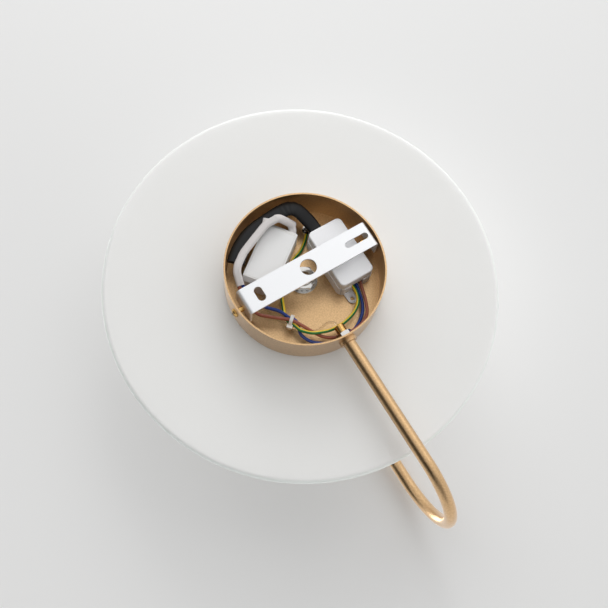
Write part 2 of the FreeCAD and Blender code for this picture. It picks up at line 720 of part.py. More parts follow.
def head_parts():
    """Heat sink with a skirt down to the closed end, board, chips, screws and a clipped-in diffuser."""
    inner = "head_radius - head_skin - fit_play"
    closed = "head_front - head_skin"
    plate = "sink_back + sink_height"
    sink = turned("heat_sink", [
        (0, "- sink_back"), (inner, "- sink_back"), (inner, minus(closed)),
        (inner + " - sink_skirt", minus(closed)), (inner + " - sink_skirt", minus(plate)), (0, minus(plate))])
    doc.recompute()
    gate = new_sketch(sink, "XY_Plane")
    add_loop(gate, [(-7.5, minus(plate)), (7.5, minus(plate)), (7.5, minus(closed + " + 1")),
                    (-7.5, minus(closed + " + 1"))])
    pocket(sink, gate, "head_radius + 2")
    drill_board(sink)
    node("heat_sink", sink)
    board_back = "sink_back - board_height"
    board = ring("led_board", 0.01, "board_radius", board_back, "sink_back")
    doc.recompute()
    drill_board(board)
    node("led_board", board)
    chips = new_body("led_chips")
    faces = new_sketch(chips, "XZ_Plane", board_back + " - chip_height")
    for index in range(8):
        angle = math.radians(22.5 + 45 * index)
        add_circle(faces, "chip_ring * %.5f" % math.cos(angle),
                   "chip_ring * %.5f" % math.sin(angle), "chip_radius")
    pad(chips, faces, "chip_height")
    node("led_chips", chips)
    screws = new_body("board_screws")
    heads = new_sketch(screws, "XZ_Plane", board_back + " - 1.5")
    shanks = new_sketch(screws, "XZ_Plane", board_back + " - 0.1")
    for side in ("", "- "):
        add_circle(heads, side + "chip_ring * 1.5", 0, 2.4)
        add_circle(shanks, side + "chip_ring * 1.5", 0, 1.25)
    pad(screws, heads, 1.5)
    pad(screws, shanks, "board_height + sink_height - 0.1")
    node("board_screws", screws)
    skirt = "head_radius - head_skin - fit_play - diffuser_skirt"
    shade_face = "diffuser_back + diffuser_height"
    shade = turned("head_diffuser", [
        (0, "- diffuser_back"), (inner, "- diffuser_back"), (inner, "- sink_back"), (skirt, "- sink_back"),
        (skirt, minus(shade_face)), (0, minus(shade_face))])
    dress(shade, "Fillet", 0.8, lambda edge, middle: abs(middle.y + number("diffuser_back")) < 0.01
          and math.hypot(middle.x, middle.z) > number(inner) - 0.1)
    node("head_diffuser", shade)


def drill_board(body):
    """Holes for the two screws and the lead."""
    holes = new_sketch(body, "XZ_Plane")
    for side in ("", "- "):
        add_circle(holes, side + "chip_ring * 1.5", 0, 1.35)
    add_circle(holes, 0, "- lead_place", "lead_hole")
    pocket(body, holes)


# ---------------------------------------------------------------- wires, sleeves and the tie

def from_driver(x, depth, z):
    """A point given in the driver's own frame, turned and moved with it."""
    turn = math.radians(number("driver_turn"))
    return (number("driver_x") + x * math.cos(turn) + z * math.sin(turn), depth,
            number("driver_z") - x * math.sin(turn) + z * math.cos(turn))


def beside(points, distance):
    """The same route moved sideways in plan, with mitred corners."""
    moved = []
    for index, (x, depth, z) in enumerate(points):
        normals = []
        for a, b in ((index - 1, index), (index, index + 1)):
            if a >= 0 and b < len(points):
                dx, dz = points[b][0] - points[a][0], points[b][2] - points[a][2]
                length = math.hypot(dx, dz)
                normals.append((-dz / length, dx / length))
        nx = sum(n[0] for n in normals) / len(normals)
        nz = sum(n[1] for n in normals) / len(normals)
        scale = distance / (nx * nx + nz * nz)
        moved.append((x + nx * scale, depth, z + nz * scale))
    return moved


def round_wire(label, points, radius, radii=()):
    path, least = round_path(points, radii)
    thing = swept(label, path, [circle_section(path, radius)])
    node(label, thing)
    report_sweep(label, thing, path, math.pi * radius ** 2, least)


def flat_sleeve(label, points, radii, prefix, beside_it=()):
    path, least = round_path(points, radii)
    across = V(1, 0, 0) if abs(points[1][2] - points[0][2]) > abs(points[1][0] - points[0][0]) else V(0, 0, 1)
    sections = []
    areas = []
    for part in ("", "_bore"):
        wide, thick = number(prefix + part + "_wide"), number(prefix + part + "_thick")
        sections.append(oval_section(path, wide, thick, across))
        areas.append((wide - thick) * thick + math.pi * thick ** 2 / 4)
    thing = swept(label, path, sections, beside_it)
    node(label, thing)
    report_sweep(label, thing, path, areas[0] - areas[1], least)


def through_tie(side, depth):
    """The two ends of a wire's straight run through the cable tie."""
    x, z = TIE_X + TIE_ASIDE[0] * side, TIE_Z + TIE_ASIDE[1] * side
    step = 2.2
    return [(x - TIE_ALONG[0] * step, depth, z - TIE_ALONG[1] * step),
            (x + TIE_ALONG[0] * step, depth, z + TIE_ALONG[1] * step)]


def wiring():
    wire = number("wire_radius")
    exit_depth = number("driver_exit_depth")
    exit_side = number("driver_exit")
    over = number("sleeve_depth")
    sleeve = [from_driver(*point) for point in (
        (-19.5, exit_depth, exit_side), (-31.0, exit_depth, exit_side), (-27.8, over, 4.8),
        (-19.0, over, 11.5), (8.0, over, 18.0), (22.0, over, 18.0), (31.0, 9.0, 10.5))]
    turns = [6.0, 5.0, 20.0, 30.0, 12.0]
    longer = sleeve[:-1] + [from_driver(33.3, 10.2, 8.6)]
    gap = wire + 0.03
    brown = beside(longer, gap)
    blue = beside(longer, -gap)
    brown += [(47.0, 16.8, 0.5), (45.6, 17.2, -8.8), (36.0, 17.0, -17.0)]
    brown += through_tie(0, 16.5)
    brown += [(21.2, 17.3, -33.2), (16.6, 20.2, -40.3), (12.0, 21.6, -47.0), (4.0, 21.8, -52.0),
              (-13.0, 20.2, -54.3), (-24.8, 19.6, -49.8), (-29.9, 20.0, -38.5), (-33.9, 21.0, -25.5),
              (-38.75, 22.9, -10.5), (-38.75, 22.9, -5.0)]
    blue += [(41.3, 17.6, -3.0), (29.6, 18.5, -14.2)]
    blue += through_tie(-1.9, 18.4)
    blue += [(22.9, 19.8, -29.5), (25.9, 20.9, -36.3), (22.0, 22.5, -45.0), (8.0, 25.6, -54.2),
             (-6.0, 25.8, -54.2), (-14.5, 23.2, -52.0), (-24.2, 22.6, -45.0), (-28.7, 22.8, -36.0),
             (-31.2, 22.9, -25.5), (-31.25, 22.9, -10.5), (-31.25, 22.9, -5.0)]
    round_wire("wire_brown", brown, wire, [turn + gap for turn in turns])
    round_wire("wire_blue", blue, wire, [turn - gap for turn in turns])
    flat_sleeve("white_sleeve", sleeve, turns, "sleeve", ["wire_brown", "wire_blue"])
    earth = [(-23.75, 22.9, -5.0), (-23.75, 22.9, -10.5), (-28.6, 21.0, -25.5), (-25.6, 20.0, -36.4),
             (-17.4, 19.3, -43.0), (-6.0, 19.2, -45.9), (5.0, 19.2, -45.9), (18.4, 17.8, -41.2),
             (25.0, 17.2, -34.5), (26.0, 17.9, -29.4), (28.7, 18.9, -24.5), (27.6, 21.8, -18.5),
             (24.8, 23.8, -12.0), (21.5, 24.6, -4.0), (13.4, 25.0, 6.0), (-1.5, 25.0, 17.4),
             (-10.8, 25.4, 20.5), (-18.0, 26.4, 26.6), (-21.2, 26.6, 30.0)]
    round_wire("wire_earth", earth, wire)
    lead_exit = number("lead_exit")
    deep = number("lead_exit_depth")
    low = number("tube_depth")
    bend = number("tube_bend")
    last = -number("tube_reach") - bend
    lead = [from_driver(22.4, deep, lead_exit), from_driver(33.0, deep, lead_exit), (34.0, 27.4, -14.5),
            (27.5, 27.6, -24.0), (21.0, 27.4, -33.0), (13.0, 25.0, -40.3), (0.0, low, -39.4)]
    led_lead(lead, low, bend, last)
    under = number("tape_depth")
    tape = [(-27.0, 15.1, 19.0), (-26.3, 15.1, 27.0), (-18.4, under, 50.6),
            (19.0, under, 46.6), (38.0, under, 33.3)]
    flat_sleeve("black_sleeve", tape, [14.0, 6.0, 30.0], "tape", ["white_sleeve"])


def led_lead(points, low, bend, last):
    """The lead's run in the cup, then the middle of the tube and its half turn, then up to the board."""
    path, least = round_path(points + [(0.0, low, last + bend)])
    high = low + 2 * bend
    place = -number("lead_place")
    start = V(0, -low, last + bend)
    middle = V(0, -low - bend, last)
    end = V(0, -high, last + bend)
    tail, _ = round_path([(0.0, high, last + bend), (0.0, high, place),
                          (0.0, number("sink_back") - 2.0, place)], [6.0])
    edges = path.Edges + [Part.Arc(start, middle, end).toShape()] + tail.Edges
    whole = Part.Wire(edges)
    radius = number("lead_radius")
    thing = swept("led_lead", whole, [circle_section(whole, radius)])
    node("led_lead", thing)
    report_sweep("led_lead", thing, whole, math.pi * radius ** 2, least)


def cable_tie():
    """A band around the four wires, with its head and cut tail on the outer side."""
    along = V(TIE_ALONG[0], 0, TIE_ALONG[1])
    aside = V(TIE_ASIDE[0], 0, TIE_ASIDE[1])
    middle = V(TIE_X, -number("tie_depth"), TIE_Z)
    width = number("tie_width")
    start = middle - along * (width / 2)
    band = Part.makeCylinder(number("tie_radius"), width, start, along)
    bore = Part.makeCylinder(number("tie_bore"), width + 2, start - along, along)
    frame = FreeCAD.Placement(V(0, 0, 0), FreeCAD.Rotation(aside, V(0, -1, 0), along, "XYZ"))

    def brick(low, high):
        shape = Part.makeBox(high[0] - low[0], high[1] - low[1], high[2] - low[2], V(*low))
        shape.Placement = FreeCAD.Placement(middle, frame.Rotation)
        return shape
    head = brick((3.3, -1.6, -2.0), (6.2, 1.6, 2.0))
    tail = brick((4.2, 1.0, -1.0), (5.2, 5.4, 1.0))
    thing = doc.addObject("Part::Feature", "cable_tie")
    thing.Shape = band.fuse([head, tail]).cut(bore).removeSplitter()
    node("cable_tie", thing)


def earth_bond():
    """A ring terminal on the cup's floor, held by a short screw."""
    floor = "cup_depth - cup_wall"
    top = floor + " - eyelet_height"
    eyelet = new_body("earth_eyelet")
    plate = new_sketch(eyelet, "XZ_Plane", top)
    add_circle(plate, 0, 0, "eyelet_radius")
    add_circle(plate, 0, 0, "eyelet_hole")
    pad(eyelet, plate, "eyelet_height")
    barrel = new_sketch(eyelet, "XZ_Plane", "26.6 - wire_radius - 0.4")
    add_loop(barrel, [(3.2, -1.7), (4.77, -1.7), (4.77, 1.7), (3.2, 1.7)])
    pad(eyelet, barrel, "wire_radius * 2 + 0.55")
    aim = FreeCAD.Rotation(V(0, 1, 0), math.degrees(math.atan2(3.5, 3.3)))
    node("earth_eyelet", eyelet, x=number("eyelet_x"), z=number("eyelet_z"), turn=aim)
    head_top = top + " - earth_head_height"
    screw = turned("earth_screw", [
        (0, minus(head_top)), ("earth_head_radius - 0.6", minus(head_top)),
        ("earth_head_radius", minus(head_top + " + 0.7")), ("earth_head_radius", minus(top)),
        ("earth_screw_radius", minus(top)), ("earth_screw_radius", "- cup_depth + 0.1"),
        (0, "- cup_depth + 0.1")])
    node("earth_screw", screw, x=number("eyelet_x"), z=number("eyelet_z"))


def check_all():
    """Stops before writing if any object or shape is broken."""
    for thing in doc.Objects:
        if "Invalid" in thing.State or "Error" in thing.State:
            raise ValueError("%s is %s" % (thing.Label, thing.State))
    for label, thing in NODES.items():
        if thing.Shape.isNull() or not thing.Shape.isValid() or not thing.Shape.Solids:
            raise ValueError("%s has no sound solid" % label)


def write_all():
    os.makedirs("parts", exist_ok=True)
    for label, thing in NODES.items():
        thing.Shape.exportStep("parts/%s.step" % label)


canopy_cup()
crossbar()
side_screw("canopy_screw_left", FreeCAD.Rotation())
side_screw("canopy_screw_right", FreeCAD.Rotation(V(0, 0, 1), 180))
centre_stack()
arm()
driver()
junction_box()
earth_bond()
lamp_head()
head_parts()
wiring()
cable_tie()
doc.recompute()
check_all()
write_all()
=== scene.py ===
import json
import math

import bpy
from mathutils import Matrix, Vector


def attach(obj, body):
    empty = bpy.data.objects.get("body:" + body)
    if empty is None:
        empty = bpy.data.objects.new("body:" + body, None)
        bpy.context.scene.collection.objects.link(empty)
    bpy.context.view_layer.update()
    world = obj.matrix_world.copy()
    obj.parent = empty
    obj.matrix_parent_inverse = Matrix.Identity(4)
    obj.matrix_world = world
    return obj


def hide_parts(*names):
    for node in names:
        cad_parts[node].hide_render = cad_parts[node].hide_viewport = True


# Disc wall sconce lying face down on a pale table, seen from behind. Metres, in the CAD frame:
# the wall is y = 0, the room lies towards -Y and Z is up. Routes are written in millimetres about
# the cup's axis as (x, depth from the wall, z), the way the part's source writes them.

MM = 0.001
CUP_X, CUP_Z = 1.7, 1.1

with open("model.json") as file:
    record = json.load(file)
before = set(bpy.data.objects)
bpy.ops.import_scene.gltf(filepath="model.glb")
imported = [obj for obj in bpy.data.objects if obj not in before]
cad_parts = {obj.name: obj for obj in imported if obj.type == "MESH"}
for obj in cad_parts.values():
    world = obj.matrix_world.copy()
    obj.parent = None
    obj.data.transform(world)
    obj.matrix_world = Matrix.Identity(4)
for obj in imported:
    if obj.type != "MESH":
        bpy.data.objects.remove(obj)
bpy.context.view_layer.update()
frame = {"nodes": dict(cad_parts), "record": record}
nodes = frame["nodes"]


def spot(x, depth, z):
    """A point about the cup's axis, in millimetres, as a vector in the row frame."""
    return Vector(((x + CUP_X) * MM, -depth * MM, (z + CUP_Z) * MM))


# ---------------------------------------------------------------- nodes of materials and the world

def add_node(owner, kind, inputs=None, **settings):
    """A new node in a material or world, with its settings and the values of its inputs."""
    made = owner.node_tree.nodes.new(kind)
    for key, setting in settings.items():
        setattr(made, key, setting)
    for socket, value in (inputs or {}).items():
        made.inputs[socket].default_value = value
    return made


def link(owner, start, end):
    owner.node_tree.links.new(start, end)


def principled(material):
    return material.node_tree.nodes["Principled BSDF"]


def own_place(material):
    """Each point's place in its piece's own coordinates."""
    return add_node(material, "ShaderNodeTexCoord").outputs["Object"]


def mixed_surface(owner, factor, first, second, output):
    """Shows the first shader where the factor is 0 and the second where it is 1."""
    mix = add_node(owner, "ShaderNodeMixShader")
    link(owner, factor, mix.inputs["Fac"])
    link(owner, first, mix.inputs[1])
    link(owner, second, mix.inputs[2])
    link(owner, mix.outputs["Shader"], owner.node_tree.nodes[output].inputs["Surface"])


# ---------------------------------------------------------------- materials

GRAIN_HEIGHT = 0.2 * MM
WEAVE_HEIGHT = 0.3 * MM
WEAVE_STRENGTH = 0.5
STRAND_RATE = 4200
GLASS_FACE, GLASS_RIM = (0.715, 0.715, 0.705, 1), (0.695, 0.725, 0.70, 1)
RIM_START, RIM_END = 147.8 * MM, 149.2 * MM
GLASS_SHADOW_SHARE = 0.68
WIRE_GREEN, WIRE_YELLOW = (0.0, 0.17, 0.035), (0.80, 0.56, 0.01)
STRIPE_TURN_START, STRIPE_TURN_END = -4 * MM, 5 * MM
VECTOR_A, VECTOR_B, VECTOR_RESULT = 4, 5, 1  # sockets of a Mix node that mixes vectors


def plain(name, color, roughness=0.5, metallic=0.0, **sockets):
    """A material of one colour. Other sockets go by their names, with _ for a space."""
    material = bpy.data.materials.new(name)
    material.use_nodes = True
    inputs = principled(material).inputs
    inputs["Base Color"].default_value = (*color, 1)
    inputs["Roughness"].default_value = roughness
    inputs["Metallic"].default_value = metallic
    for socket, setting in sockets.items():
        inputs[socket.replace("_", " ")].default_value = setting
    return material


def translucent(weight, scale):
    """Sockets for light that spreads evenly under the surface."""
    return {"Subsurface_Weight": weight, "Subsurface_Radius": (1, 1, 1), "Subsurface_Scale": scale}


def raise_bump(material, height, strength, distance):
    bump = add_node(material, "ShaderNodeBump", {"Strength": strength, "Distance": distance})
    link(material, height, bump.inputs["Height"])
    link(material, bump.outputs["Normal"], principled(material).inputs["Normal"])


def grain(material, scale, strength):
    """Fine bump from noise."""
    noise = add_node(material, "ShaderNodeTexNoise", {"Scale": scale, "Detail": 3})
    link(material, own_place(material), noise.inputs["Vector"])
    raise_bump(material, noise.outputs["Fac"], strength, GRAIN_HEIGHT)
    return material


def mottled(material, color, scale, low, high):
    """Blends a second colour in by noise, from where it is low to where it is high."""
    base = principled(material).inputs["Base Color"].default_value[:]
    noise = add_node(material, "ShaderNodeTexNoise", {"Scale": scale})
    ramp = add_node(material, "ShaderNodeValToRGB")
    first, second = ramp.color_ramp.elements
    first.position, first.color = low, base
    second.position, second.color = high, (*color, 1)
    link(material, own_place(material), noise.inputs["Vector"])
    link(material, noise.outputs["Fac"], ramp.inputs["Fac"])
    link(material, ramp.outputs["Color"], principled(material).inputs["Base Color"])
    return material


def woven(material):
    """Fine crossing strands as bump, in two slanting bands."""
    place = own_place(material)
    weave = add_node(material, "ShaderNodeMath", operation="MULTIPLY")
    for index, slant in enumerate(((1, 0, 1), (1, 0, -1))):
        across = add_node(material, "ShaderNodeVectorMath", {1: slant}, operation="DOT_PRODUCT")
        phase = add_node(material, "ShaderNodeMath", {1: STRAND_RATE}, operation="MULTIPLY")
        ripple = add_node(material, "ShaderNodeMath", operation="SINE")
        link(material, place, across.inputs[0])
        link(material, across.outputs["Value"], phase.inputs[0])
        link(material, phase.outputs["Value"], ripple.inputs[0])
        link(material, ripple.outputs["Value"], weave.inputs[index])
    raise_bump(material, weave.outputs["Value"], WEAVE_STRENGTH, WEAVE_HEIGHT)
    return material


def lighten_shadow(material, share):
    """Lets a share of the light through, so that the piece casts a paler shadow."""
    rays = add_node(material, "ShaderNodeLightPath")
    part = add_node(material, "ShaderNodeMath", {1: share}, operation="MULTIPLY")
    clear = add_node(material, "ShaderNodeBsdfTransparent")
    link(material, rays.outputs["Is Shadow Ray"], part.inputs[0])
    mixed_surface(material, part.outputs["Value"], principled(material).outputs["BSDF"],
                  clear.outputs["BSDF"], "Material Output")


def frosted_glass():
    """A pale satin face, and a slightly greenish rim beyond the flat."""
    material = plain("frosted_glass", (0.715, 0.715, 0.707), 0.5, IOR=1.5,
                     **translucent(0.8, 0.012))
    about_axis = add_node(material, "ShaderNodeVectorMath",
                          {1: (1, 0, 1), 2: (-CUP_X * MM, 0, -CUP_Z * MM)},
                          operation="MULTIPLY_ADD")
    radius = add_node(material, "ShaderNodeVectorMath", operation="LENGTH")
    beyond = add_node(material, "ShaderNodeMapRange", {"From Min": RIM_START, "From Max": RIM_END})
    tone = add_node(material, "ShaderNodeMix", {"A": GLASS_FACE, "B": GLASS_RIM}, data_type="RGBA")
    link(material, own_place(material), about_axis.inputs[0])
    link(material, about_axis.outputs["Vector"], radius.inputs[0])
    link(material, radius.outputs["Value"], beyond.inputs["Value"])
    link(material, beyond.outputs["Result"], tone.inputs["Factor"])
    link(material, tone.outputs["Result"], principled(material).inputs["Base Color"])
    lighten_shadow(material, GLASS_SHADOW_SHARE)
    return material


def striped_wire():
    """Green with a lengthwise yellow side.

    The yellow faces the cup's middle, and above the crossbar a point at the cup's upper edge.
    """
    material = plain("green_yellow_pvc", WIRE_GREEN, 0.34)
    place = own_place(material)
    face = add_node(material, "ShaderNodeNewGeometry")
    split = add_node(material, "ShaderNodeSeparateXYZ")
    above = add_node(material, "ShaderNodeMapRange",
                     {"From Min": STRIPE_TURN_START, "From Max": STRIPE_TURN_END})
    aim = add_node(material, "ShaderNodeMix",
                   {VECTOR_A: spot(0, 22, 0), VECTOR_B: spot(30, 22, 38)}, data_type="VECTOR")
    way = add_node(material, "ShaderNodeVectorMath", operation="SUBTRACT")
    facing = add_node(material, "ShaderNodeVectorMath", operation="DOT_PRODUCT")
    side = add_node(material, "ShaderNodeMath", {1: 0.0}, operation="GREATER_THAN")
    tone = add_node(material, "ShaderNodeMix",
                    {"A": (*WIRE_GREEN, 1), "B": (*WIRE_YELLOW, 1)}, data_type="RGBA")
    link(material, place, split.inputs["Vector"])
    link(material, split.outputs["Z"], above.inputs["Value"])
    link(material, above.outputs["Result"], aim.inputs["Factor"])
    link(material, aim.outputs[VECTOR_RESULT], way.inputs[0])
    link(material, place, way.inputs[1])
    link(material, face.outputs["Normal"], facing.inputs[0])
    link(material, way.outputs["Vector"], facing.inputs[1])
    link(material, facing.outputs["Value"], side.inputs[0])
    link(material, side.outputs["Value"], tone.inputs["Factor"])
    link(material, tone.outputs["Result"], principled(material).inputs["Base Color"])
    return material


MATERIALS = {
    "satin_brass": mottled(
        grain(plain("satin_brass", (0.54, 0.345, 0.17), 0.31, 1.0,
                    Coat_Weight=0.5, Coat_Roughness=0.3), 1300, 0.6),
        (0.64, 0.42, 0.215), 900, 0.4, 0.6),
    "screw_brass": plain("screw_brass", (0.66, 0.42, 0.15), 0.2, 1.0),
    "zinc_plate": grain(plain("zinc_plate", (0.84, 0.85, 0.865), 0.4, 0.45), 900, 0.12),
    "nickel": plain("nickel", (0.64, 0.63, 0.61), 0.13, 1.0),
    "clear_gasket": plain("clear_gasket", (0.72, 0.70, 0.64), 0.5),
    "frosted_glass": frosted_glass(),
    "white_nylon": plain("white_nylon", (0.93, 0.935, 0.955), 0.42, **translucent(0.15, 0.002)),
    "driver_white": mottled(plain("driver_white", (0.76, 0.76, 0.75), 0.5),
                            (0.70, 0.69, 0.67), 60, 0.35, 0.7),
    "circuit_green": plain("circuit_green", (0.02, 0.12, 0.04), 0.4),
    "bare_aluminium": grain(plain("bare_aluminium", (0.75, 0.76, 0.77), 0.4, 1.0), 1200, 0.2),
    "board_white": plain("board_white", (0.85, 0.85, 0.83), 0.4),
    "led_yellow": plain("led_yellow", (0.85, 0.62, 0.08), 0.3),
    "opal_acrylic": plain("opal_acrylic", (0.87, 0.87, 0.85), 0.25, **translucent(0.2, 0.003)),
    "brown_pvc": plain("brown_pvc", (0.30, 0.085, 0.05), 0.36),
    "blue_pvc": plain("blue_pvc", (0.01, 0.045, 0.26), 0.34),
    "green_yellow_pvc": striped_wire(),
    "white_braid": woven(plain("white_braid", (0.68, 0.65, 0.64), 0.62)),
    "clear_pvc": plain("clear_pvc", (0.90, 0.87, 0.80), 0.15, Transmission_Weight=0.95, IOR=1.18),
    "black_pvc": plain("black_pvc", (0.005, 0.005, 0.006), 0.42, IOR=1.36),
    "clear_nylon": plain("clear_nylon", (0.74, 0.73, 0.70), 0.35, **translucent(0.3, 0.002)),
    "label_white": plain("label_white", (0.79, 0.79, 0.785), 0.32),
}


# ---------------------------------------------------------------- objects

def placed(name, data):
    """A new object in the scene that holds a mesh, curve, lamp or camera."""
    thing = bpy.data.objects.new(name, data)
    bpy.context.scene.collection.objects.link(thing)
    return thing


def mesh_object(name, vertices, faces):
    mesh = bpy.data.meshes.new(name)
    mesh.from_pydata(vertices, [], faces)
    return placed(name, mesh)


def dress(thing, material):
    thing.data.materials.clear()
    thing.data.materials.append(MATERIALS[material])


def lamp_piece(name, vertices, faces, material):
    """A piece that rides on the lamp's fixed body. Its slot is its material."""
    thing = mesh_object(name, vertices, faces)
    dress(thing, material)
    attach(thing, "lamp")
    return thing


def ring_walls(rings, around, reverse=False):
    """Quads between neighbouring rings of vertices."""
    walls = []
    for ring in range(rings - 1):
        for step in range(around):
            a = ring * around + step
            b = ring * around + (step + 1) % around
            walls.append((a, b, b + around, a + around) if reverse
                         else (a, a + around, b + around, b))
    return walls


# ---------------------------------------------------------------- sleeves

DRIVER_TURN = math.radians(37.2)
DRIVER_X, DRIVER_Z = 15.1, 23.8
LINE_STEPS = 60
SLEEVE_AROUND = 48


def from_driver(x, depth, z):
    """A point given in the driver's own frame, which is turned and moved from the cup's axis."""
    cos, sin = math.cos(DRIVER_TURN), math.sin(DRIVER_TURN)
    return DRIVER_X + x * cos + z * sin, depth, DRIVER_Z - x * sin + z * cos


FOLD_BASE = [from_driver(*point) for point in (
    (-26.0, 4.6, 7.2), (-21.5, 2.6, 10.6), (-15.5, 4.6, 13.8), (-20.5, 6.0, 10.8))]
FOLD_PEAK = from_driver(-23.6, 4.0, 15.4)
CLIMB_ROUTE = [from_driver(*point) for point in (
    (-30.8, 14.4, -7.0), (-30.2, 11.9, -4.4), (-29.4, 9.2, -1.3), (-28.6, 6.6, 1.8),
    (-27.8, 4.6, 4.6), (-26.0, 4.3, 6.5))]
BLACK_ROUTE = [
    (-27.0, 15.1, 19.0), (-26.3, 15.1, 27.0), (-24.6, 13.0, 35.0), (-21.2, 9.0, 44.5),
    (-16.2, 7.6, 48.6), (-8.0, 7.6, 49.2), (6.0, 8.0, 48.0), (19.0, 8.0, 45.4),
    (30.0, 8.2, 39.5), (37.0, 8.4, 34.2), (40.5, 8.5, 30.5)]


def centreline(points):
    """Points along the smooth line whose control points are the route's, in the row frame."""
    curve = bpy.data.curves.new("guide", "CURVE")
    curve.dimensions = "3D"
    curve.resolution_u = LINE_STEPS
    spline = curve.splines.new("NURBS")
    spline.points.add(len(points) - 1)
    for point, place in zip(spline.points, points):
        point.co = (*spot(*place), 1)
    spline.order_u = 3
    spline.use_endpoint_u = True
    guide = placed("guide", curve)
    bpy.context.view_layer.update()
    mesh = bpy.data.meshes.new_from_object(guide)
    line = [vertex.co.copy() for vertex in mesh.vertices]
    bpy.data.objects.remove(guide)
    bpy.data.meshes.remove(mesh)
    return line


def oval_ring(line, index, shape):
    """One ring of a flattened tube. The shape gives offsets aside and towards the wall."""
    ahead = line[min(index + 1, len(line) - 1)] - line[max(index - 1, 0)]
    ahead.normalize()
    aside = ahead.cross(Vector((0, 1, 0))).normalized()
    up = aside.cross(ahead).normalized()
    ring = []
    for step in range(SLEEVE_AROUND):
        side, rise = shape(2 * math.pi * step / SLEEVE_AROUND)
        ring.append(line[index] + (aside * side + up * rise) * MM)
    return ring


def oval_tube(name, points, form, material):
    """A soft flattened tube along a route. The form gives a ring's shape by its distance along."""
    line = centreline(points)
    vertices = []
    travelled = 0.0
    for index, place in enumerate(line):
        if index:
            travelled += (place - line[index - 1]).length / MM
        vertices += oval_ring(line, index, form(travelled))
    faces = ring_walls(len(line), SLEEVE_AROUND)
    faces.append(tuple(range(SLEEVE_AROUND)))
    last = (len(line) - 1) * SLEEVE_AROUND
    faces.append(tuple(last + step for step in reversed(range(SLEEVE_AROUND))))
    thing = lamp_piece(name, vertices, faces, material)
    thing.data.shade_smooth()
    return thing


def softened(travelled):
    """The black sleeve: flat where it enters the box, then fuller, with creases round its fold, and
    wider near its far end, partly as a dark fill that stands in for painted shade on the cup's
    wall.
    """
    squareness = 2.8
    fold, fold_reach, crease_rate = 34.0, 7.0, 1.7
    fill = min(1.0, travelled / 14)
    # Past 55 mm the sleeve widens. This is partly its fuller end and partly a dark fill that stands
    # in for the shade on the cup's wall beside it.
    widen_into_shade = 1.3 * min(1.0, max(0.0, travelled - 55) / 25)
    near_fold = math.exp(-((travelled - fold) / fold_reach) ** 2)
    crease = 0.2 * near_fold * math.sin(travelled * crease_rate)
    half_width = 4.6 + 0.7 * fill + widen_into_shade + crease
    half_height = 1.5 + 0.9 * fill - crease * 0.6

    def shape(angle):
        across, rise = math.cos(angle), math.sin(angle)
        squared = 1 / (abs(across) ** squareness + abs(rise) ** squareness) ** (1 / squareness)
        return across * squared * half_width, rise * squared * half_height
    return shape


def bulging(_travelled):
    """The white sleeve where it bulges over its two wires as it climbs, the same all along."""
    half_width, half_height = 3.2, 2.25

    def shape(angle):
        return half_width * math.cos(angle), half_height * math.sin(angle)
    return shape


def sleeve_fold():
    """The pinched fold that stands out where the white sleeve turns over the driver."""
    fold = lamp_piece("sleeve_fold", [spot(*corner) for corner in FOLD_BASE + [FOLD_PEAK]],
                      [(0, 1, 4), (1, 2, 4), (2, 3, 4), (3, 0, 4), (0, 3, 2, 1)], "white_braid")
    soften = fold.modifiers.new("soften", "BEVEL")
    soften.width = 0.5 * MM
    soften.segments = 3


def sleeves():
    sleeve_fold()
    oval_tube("sleeve_climb", CLIMB_ROUTE, bulging, "white_braid")
    black = oval_tube("black_sleeve_soft", BLACK_ROUTE, softened, "black_pvc")
    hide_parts("black_sleeve")


# ---------------------------------------------------------------- threads and the driver's label

THREAD_PITCH = 0.8
THREAD_DEPTH = 0.35
THREAD_AROUND = 64
INTO_ROOM = Vector((0, -1, 0))
DOWN = Vector((0, 0, -1))
LABEL_X, LABEL_Z = 20.5, 11.0
LABEL_TOP, LABEL_BOTTOM = 9.70, 9.78


def thread(name, inner, crest, start, end, place, along, material):
    """Thread ridges round a rod. Start and end are distances along the axis from the place."""
    half_pitches = int((end - start) / THREAD_PITCH * 2)
    profile = [(start, inner)]
    for index in range(half_pitches + 1):
        depth = THREAD_DEPTH if index % 2 else 0
        profile.append((start + index * THREAD_PITCH / 2, crest - depth))
    profile.append((profile[-1][0], inner))
    across = along.orthogonal().normalized()
    beyond = along.cross(across)
    vertices = []
    for travel, radius in profile:
        for step in range(THREAD_AROUND):
            angle = 2 * math.pi * step / THREAD_AROUND
            outward = across * math.cos(angle) + beyond * math.sin(angle)
            vertices.append(place + (along * travel + outward * radius) * MM)
    faces = ring_walls(len(profile), THREAD_AROUND, reverse=True)
    lamp_piece(name, vertices, faces, material)


def driver_label():
    """The driver's label, bare, as a thin plate on its cover."""
    outline = ((-LABEL_X, -LABEL_Z), (LABEL_X, -LABEL_Z), (LABEL_X, LABEL_Z), (-LABEL_X, LABEL_Z))
    vertices = [spot(*from_driver(x, depth, z))
                for depth in (LABEL_BOTTOM, LABEL_TOP) for x, z in outline]
    faces = [(0, 1, 2, 3), (7, 6, 5, 4), (0, 4, 5, 1), (1, 5, 6, 2), (2, 6, 7, 3), (3, 7, 4, 0)]
    lamp_piece("driver_label", vertices, faces, "label_white")


# ---------------------------------------------------------------- table, light and camera

TABLE_DEPTH = 109.6
TABLE_REACH = 4.0
LAMP_DISTANCE = 2.4
KEY_WAY = Vector((-0.43, 0.45, 0.79)).normalized()
FILL_WAY = Vector((0.35, -0.80, 0.50)).normalized()
ROOM_LEVEL = 0.95

# Cones of the room's light: a direction, the cosines at which the cone starts and is full, and
# how much it adds or takes away there.
WINDOW_CONE = (Vector((-0.64, 0.73, 0.25)).normalized(), 0.86, 0.985, 0.75)
DARK_CONE = (Vector((0.87, 0.42, 0.25)).normalized(), 0.62, 0.95, ROOM_LEVEL - 0.06)
DIM_CONE = (Vector((0.45, 0.60, -0.66)).normalized(), 0.70, 0.97, 0.62)


